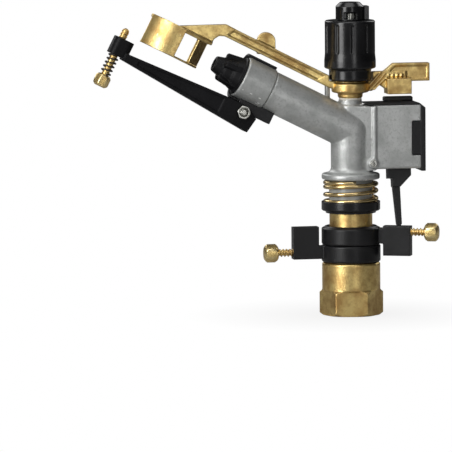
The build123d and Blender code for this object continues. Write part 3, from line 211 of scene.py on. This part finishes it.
BLACK = {"metallic": 0.0, "patch": 60, "painted_hollow_shade": 0.3, "speckle": 0.1}
BLACK_PLASTIC = surface(
    "black_plastic", (0.0035, 0.0035, 0.004), (0.007, 0.007, 0.008), (0.06, 0.06, 0.062), rough=0.24,
    grain=1600, bump=0.15, worn_and_highlit_edge=0.12, rough_spread=0.10, shine=0.45, **BLACK)
SATIN_PLASTIC = surface(
    "satin_plastic", (0.004, 0.004, 0.0045), (0.008, 0.008, 0.009), (0.06, 0.06, 0.062), rough=0.38,
    grain=1500, bump=0.25, worn_and_highlit_edge=0.35, rough_spread=0.12, shine=0.35, **BLACK)
FLAT_PLASTIC = surface(
    "flat_plastic", (0.004, 0.004, 0.0045), (0.008, 0.008, 0.009), (0.04, 0.04, 0.042), rough=0.45,
    grain=1500, bump=0.25, worn_and_highlit_edge=0.25, rough_spread=0.12, shine=0.12, **BLACK)
GREY_PLASTIC = surface(
    "grey_plastic", (0.46, 0.47, 0.45), (0.30, 0.31, 0.30), (0.7, 0.7, 0.7), metallic=0.1, rough=0.3,
    bump=0.1)
WHITE_NYLON = surface(
    "white_nylon", (0.80, 0.78, 0.72), (0.66, 0.63, 0.56), (0.9, 0.9, 0.86), metallic=0.0, rough=0.5,
    bump=0.1)
RUBBER = surface(
    "black_rubber", (0.012, 0.012, 0.012), (0.02, 0.02, 0.02), (0.06, 0.06, 0.06), metallic=0.0, rough=0.7,
    bump=0.3)

BY_SLOT = {"cast_brass": CAST_BRASS, "cast_aluminium": CAST_ALUMINIUM, "black_plastic": BLACK_PLASTIC,
           "steel": STEEL, "spring_wire": SPRING_WIRE, "grey_plastic": GREY_PLASTIC,
           "white_nylon": WHITE_NYLON, "black_rubber": RUBBER}

# ---------------------------------------------------------------- carried-over CAD nodes
RELAX_FACTOR = 0.5
# voxel size in millimetres, rounds of smoothing, and a finish where it isn't the slot's own;
# nodes that aren't listed keep their CAD mesh
SKINS = {
    "inlet_base": (0.45, 4, None),
    "spring_cup": (0.3, 3, None),
    "body_casting": (0.5, 6, None),
    "spring_sleeve": (0.4, 3, None),
    "nozzle_collar": (0.4, 3, None),
    "nozzle": (0.35, 4, FLAT_PLASTIC),
    "arm_pivot_pin": (0.3, 3, None),
    "arm_washer": (0.25, 2, None),
    "pivot_nut": (0.3, 2, None),
    "spring_housing": (0.4, 3, None),
    "mechanism_cover": (0.35, 3, SATIN_PLASTIC),
    "housing_screw": (0.15, 2, None),
    "lever_pivot_pin": (0.25, 2, None),
    "breaker_saddle": (0.35, 3, SATIN_PLASTIC),
    "breaker_bolt": (0.2, 2, None),
    "breaker_nut": (0.2, 2, None),
    "impact_arm": (0.4, 5, None),
    "arm_bushing": (0.3, 2, None),
    "trip_lever": (0.3, 3, SATIN_PLASTIC),
    "reversing_dog": (0.3, 3, SATIN_PLASTIC),
    "lower_stop_collar": (0.4, 3, SATIN_PLASTIC),
    "upper_stop_collar": (0.4, 3, SATIN_PLASTIC),
    "breaker_arm": (0.35, 3, FLAT_PLASTIC),
    "tension_knob": (0.3, 3, None),
    "bearing_pipe": (0.4, 2, TURNED_BRASS),
}


def soften(piece, voxel, rounds):
    """Gives a CAD node evenly rounded edges."""
    remesh = piece.modifiers.new("even_skin", "REMESH")
    remesh.mode = "VOXEL"
    remesh.voxel_size = voxel * MM
    remesh.use_smooth_shade = True
    relax = piece.modifiers.new("soft_edges", "SMOOTH")
    relax.factor = RELAX_FACTOR
    relax.iterations = rounds


slot_of = {entry["node"]: entry["material_slot"] for entry in frame["record"]["subparts"]}
for node_name, piece in frame["nodes"].items():
    finish = BY_SLOT[slot_of[node_name]]
    if node_name in SKINS:
        voxel, rounds, special = SKINS[node_name]
        soften(piece, voxel, rounds)
        finish = special or finish
    piece.data.materials.clear()
    piece.data.materials.append(finish)


# ---------------------------------------------------------------- redrawn pieces
def new_piece(name, points, faces, material, node, body):
    """A smooth mesh piece that stands for a CAD node and moves with its body."""
    mesh = bpy.data.meshes.new(name)
    mesh.from_pydata([tuple(point) for point in points], [], faces)
    mesh.polygons.foreach_set("use_smooth", [True] * len(mesh.polygons))
    mesh.materials.append(material)
    mesh.update()
    piece = bpy.data.objects.new(name, mesh)
    bpy.context.scene.collection.objects.link(piece)
    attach(piece, body)
    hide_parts(node)
    return piece


def square_axes(direction):
    """Two directions square to the given one; the first looks to the front where it can."""
    side = Vector((0, -1, 0))
    if abs(direction.y) > 0.3:
        side = direction.cross(UP).normalized()
    return side, direction.cross(side).normalized()


def tube_faces(rows, around, start=0):
    """Quads between rows of points round a tube, and its two end caps."""
    faces = []
    for row in range(rows - 1):
        for column in range(around):
            after = (column + 1) % around
            low = start + row * around
            faces.append((low + column, low + after, low + around + after, low + around + column))
    last = start + (rows - 1) * around
    faces.append(tuple(reversed(range(start, start + around))))
    faces.append(tuple(range(last, last + around)))
    return faces


def threaded_shank(tip, direction, length, thread):
    """A rod with a round-edged helical thread that fades out at its rounded tip."""
    outer, root, pitch = thread
    rows = int(length / pitch * THREAD_ROWS_PER_PITCH) + 1
    side, other = square_axes(direction)
    points = []
    for row in range(rows):
        along = length * row / (rows - 1)
        blunt = max(TIP_LEAST, math.sqrt(1 - (1 - min(1.0, along / root)) ** 2))
        for column in range(SCREW_SIDES):
            angle = 2 * math.pi * column / SCREW_SIDES
            phase = (along / pitch - column / SCREW_SIDES) % 1.0
            crest = max(0.0, min(1.0, CREST_LEVEL - abs(phase - 0.5) * CREST_FALL)) * min(1.0, along / pitch)
            reach = side * math.cos(angle) + other * math.sin(angle)
            points.append(tip + (direction * along + reach * (root + (outer - root) * crest) * blunt) * MM)
    return points, tube_faces(rows, SCREW_SIDES)


def faceted_head(foot, direction, length, across, start):
    """A six-sided head with coned ends; its faces are counted from start."""
    side, other = square_axes(direction)
    half_face = math.pi / 6
    flat = across / 2
    corner = flat / math.cos(half_face)
    rows = [(0, flat - HEAD_BEVEL), (HEAD_BEVEL * CONE_TO_FLAT, flat), (HEAD_BEVEL * CONE_TO_CORNER, corner)]
    rows += [(length - along, reach) for along, reach in reversed(rows)]
    points = []
    for along, limit in rows:
        for column in range(SCREW_SIDES):
            angle = 2 * math.pi * column / SCREW_SIDES
            from_flat = (angle + half_face) % (2 * half_face) - half_face
            reach = min(flat / math.cos(from_flat), limit)
            outwards = side * math.cos(angle) + other * math.sin(angle)
            points.append(foot + (direction * along + outwards * reach) * MM)
    return points, tube_faces(len(rows), SCREW_SIDES, start)


def thumb_screw(name, node, body, tip, direction, shank, head, across, thread):
    """A cast brass screw: threaded shank from its tip, then a faceted head."""
    points, faces = threaded_shank(tip, direction, shank, thread)
    head_foot = tip + direction * shank * MM
    head_points, head_faces = faceted_head(head_foot, direction, head, across, len(points))
    piece = new_piece(name, points + head_points, faces + head_faces, CAST_BRASS, node, body)
    crisp = piece.modifiers.new("crisp", "EDGE_SPLIT")
    crisp.split_angle = CRISP_ANGLE


def wire_piece(name, node, body, centres, wire, material):
    """A round wire through the centres."""
    points = []
    for index, centre in enumerate(centres):
        ahead = centres[min(index + 1, len(centres) - 1)] - centres[max(index - 1, 0)]
        tangent = ahead.normalized()
        outward = tangent.orthogonal() if index == 0 else outward - tangent * outward.dot(tangent)
        outward.normalize()
        upward = tangent.cross(outward)
        for column in range(WIRE_SIDES):
            angle = 2 * math.pi * column / WIRE_SIDES
            points.append(centre + (outward * math.cos(angle) + upward * math.sin(angle)) * wire * MM)
    new_piece(name, points, tube_faces(len(centres), WIRE_SIDES), material, node, body)


def winding(foot, direction, radius, heights):
    """Centres of a wire that winds once between each two heights, from the front."""
    side, other = square_axes(direction)
    centres = []
    for step in range((len(heights) - 1) * STEPS_PER_TURN + 1):
        turn, part = divmod(step, STEPS_PER_TURN)
        rise = heights[turn]
        if part:
            rise += (heights[turn + 1] - heights[turn]) * (part / STEPS_PER_TURN)
        angle = 2 * math.pi * step / STEPS_PER_TURN
        reach = side * math.cos(angle) + other * math.sin(angle)
        centres.append(foot + (direction * rise + reach * radius) * MM)
    return centres


bearing_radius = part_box("bearing_spring")[1][0] / MM - BEARING_WIRE
wire_piece("bearing_spring_coil", "bearing_spring", "base",
           winding(Vector((0, 0, 0)), UP, bearing_radius, BEARING_TURN_HEIGHTS), BEARING_WIRE, SPRING_WIRE)

pin_up = joint_axis("breaker_pin_travel")
lock_middle = middle("breaker_lock_spring")
lock_heights = [-LOCK_HALF + 2 * LOCK_HALF * turn / LOCK_TURNS for turn in range(LOCK_TURNS + 1)]
wire_piece("breaker_lock_coil", "breaker_lock_spring", "breaker",
           winding(lock_middle, pin_up, LOCK_RADIUS, lock_heights), LOCK_WIRE, DARK_WIRE)
thumb_screw("breaker_pin_brass", "breaker_screw", "breaker_pin", lock_middle + pin_up * PIN_TIP * MM, -pin_up,
            PIN_SHANK, PIN_HEAD, PIN_ACROSS, PIN_THREAD)

for side_name, shank in (("lower", LOWER_SHANK), ("upper", UPPER_SHANK)):
    node = side_name + "_stop_screw"
    outwards = joint_axis(side_name + "_screw_travel")
    tip = outwards * STOP_TIP * MM + UP * middle(node).z
    thumb_screw(node + "_brass", node, side_name + "_screw", tip, outwards, shank,
                STOP_HEAD, STOP_ACROSS, STOP_THREAD)

# ---------------------------------------------------------------- floor
FLOOR_HALF = 12.0
FLOOR_DROP = -0.0003
FLOOR_GREY = 0.38
FLOOR_ROUGH = 0.8
FLOOR_SHINE = 0.1
# distances from the middle between which the floor fades to the backdrop's white, and its white at the first
FADE_SPAN = (0.02, 0.12)
FADE_NEAR = 0.86

floor_mesh = bpy.data.meshes.new("floor")
corners = [(x * FLOOR_HALF, y * FLOOR_HALF, FLOOR_DROP) for x, y in ((-1, -1), (1, -1), (1, 1), (-1, 1))]
floor_mesh.from_pydata(corners, [], [(0, 1, 2, 3)])
floor = bpy.data.objects.new("floor", floor_mesh)
bpy.context.scene.collection.objects.link(floor)
floor_material = bpy.data.materials.new("floor")
floor_material.use_nodes = True
floor_tree = floor_material.node_tree
floor_paint = floor_tree.nodes["Principled BSDF"]
floor_paint.inputs["Base Color"].default_value = (FLOOR_GREY, FLOOR_GREY, FLOOR_GREY, 1)
floor_paint.inputs["Roughness"].default_value = FLOOR_ROUGH
floor_paint.inputs["Specular IOR Level"].default_value = FLOOR_SHINE
glow = add_node(floor_tree, "ShaderNodeEmission", in_Color=(1, 1, 1, 1))
away = add_node(floor_tree, "ShaderNodeVectorMath", operation="LENGTH")
floor_tree.links.new(add_node(floor_tree, "ShaderNodeTexCoord").outputs["Object"], away.inputs[0])
fading = ranged(floor_tree, away.outputs["Value"], FADE_SPAN, low=FADE_NEAR)
seen_glow = add_node(floor_tree, "ShaderNodeMath", operation="MULTIPLY")
floor_rays = add_node(floor_tree, "ShaderNodeLightPath")
floor_tree.links.new(floor_rays.outputs["Is Camera Ray"], seen_glow.inputs[0])
floor_tree.links.new(fading, seen_glow.inputs[1])
floor_blend = add_node(floor_tree, "ShaderNodeMixShader")
floor_tree.links.new(seen_glow.outputs[0], floor_blend.inputs[0])
floor_tree.links.new(floor_paint.outputs[0], floor_blend.inputs[1])
floor_tree.links.new(glow.outputs[0], floor_blend.inputs[2])
floor_tree.links.new(floor_blend.outputs[0], floor_tree.nodes["Material Output"].inputs["Surface"])
floor_mesh.materials.append(floor_material)

# ---------------------------------------------------------------- room
# the room is brighter above and at the front left; the camera alone sees it as a white backdrop
BRIGHT_SIDE = (-0.64, -0.77, 0)
HEIGHT_SPAN = (-0.1, 0.9)
LOW_LIGHT = 0.22
HIGH_LIGHT = 0.60
FACING_SPAN = (0.0, 0.95)
DIM_SIDE_SHARE = 0.14
BRIGHT_SIDE_SHARE = 0.9

world = bpy.data.worlds.new("studio")
bpy.context.scene.world = world
world.use_nodes = True
sky = world.node_tree
room_direction = add_node(sky, "ShaderNodeTexCoord").outputs["Generated"]
split_direction = add_node(sky, "ShaderNodeSeparateXYZ")
sky.links.new(room_direction, split_direction.inputs["Vector"])
by_height = ranged(sky, split_direction.outputs["Z"], HEIGHT_SPAN, LOW_LIGHT, HIGH_LIGHT)
facing = add_node(sky, "ShaderNodeVectorMath", operation="DOT_PRODUCT")
facing.inputs[1].default_value = BRIGHT_SIDE
sky.links.new(room_direction, facing.inputs[0])
by_side = ranged(sky, facing.outputs["Value"], FACING_SPAN, DIM_SIDE_SHARE, BRIGHT_SIDE_SHARE)
shade = add_node(sky, "ShaderNodeMath", operation="MULTIPLY")
sky.links.new(by_height, shade.inputs[0])
sky.links.new(by_side, shade.inputs[1])
brightness = add_node(sky, "ShaderNodeMix", data_type="FLOAT")
sky.links.new(add_node(sky, "ShaderNodeLightPath").outputs["Is Camera Ray"], brightness.inputs[0])
sky.links.new(shade.outputs[0], brightness.inputs[2])
brightness.inputs[3].default_value = 1.0
sky.links.new(brightness.outputs[0], sky.nodes["Background"].inputs["Strength"])
sky.nodes["Background"].inputs["Color"].default_value = (1, 1, 1, 1)

# ---------------------------------------------------------------- lights
LIGHT_AIM = Vector((-0.03, 0, 0.13))
# name, azimuth from the front (positive to the right), elevation, distance, width, height and radiance
LIGHTS = [
    ("key_left", -54, 12, 1.4, 0.6, 1.0, 7.2),
    ("front", 9, 2, 1.6, 0.3, 0.8, 2.7),
    ("front_high", -20, 52, 1.4, 0.8, 0.5, 2.4),
    ("right_rim", 128, 32, 1.3, 0.5, 0.8, 2.6),
    ("overhead", -20, 82, 1.2, 0.9, 0.6, 2.2),
    ("back", -150, 30, 1.4, 0.9, 0.7, 2.6),
]


def from_front(azimuth, elevation):
    """The direction from the object towards an azimuth and elevation in degrees."""
    turn, rise = math.radians(azimuth), math.radians(elevation)
    return Vector((math.sin(turn) * math.cos(rise), -math.cos(turn) * math.cos(rise), math.sin(rise)))


for light_name, azimuth, elevation, distance, width, height, radiance in LIGHTS:
    light = bpy.data.lights.new(light_name, "AREA")
    light.shape = "RECTANGLE"
    light.size = width
    light.size_y = height
    light.energy = radiance * math.pi * width * height
    lamp = bpy.data.objects.new(light_name, light)
    bpy.context.scene.collection.objects.link(lamp)
    outwards = from_front(azimuth, elevation)
    lamp.location = LIGHT_AIM + outwards * distance
    lamp.rotation_euler = outwards.to_track_quat("Z", "Y").to_euler()

# ---------------------------------------------------------------- camera and colour
backward = from_front(VIEW_AZIMUTH, VIEW_ELEVATION)
rightward = from_front(VIEW_AZIMUTH + 90, 0)
upward = backward.cross(rightward)
camera_data = bpy.data.cameras.new("camera")
camera_data.lens = VIEW_LENS
camera = bpy.data.objects.new("camera", camera_data)
bpy.context.scene.collection.objects.link(camera)
camera.location = rightward * AIM_RIGHT + upward * AIM_UP + backward * VIEW_DISTANCE
roll = Quaternion((0, 0, 1), math.radians(VIEW_ROLL))
camera.rotation_euler = (backward.to_track_quat("Z", "Y") @ roll).to_euler()
bpy.context.scene.camera = camera
bpy.context.scene.view_settings.view_transform = "Standard"
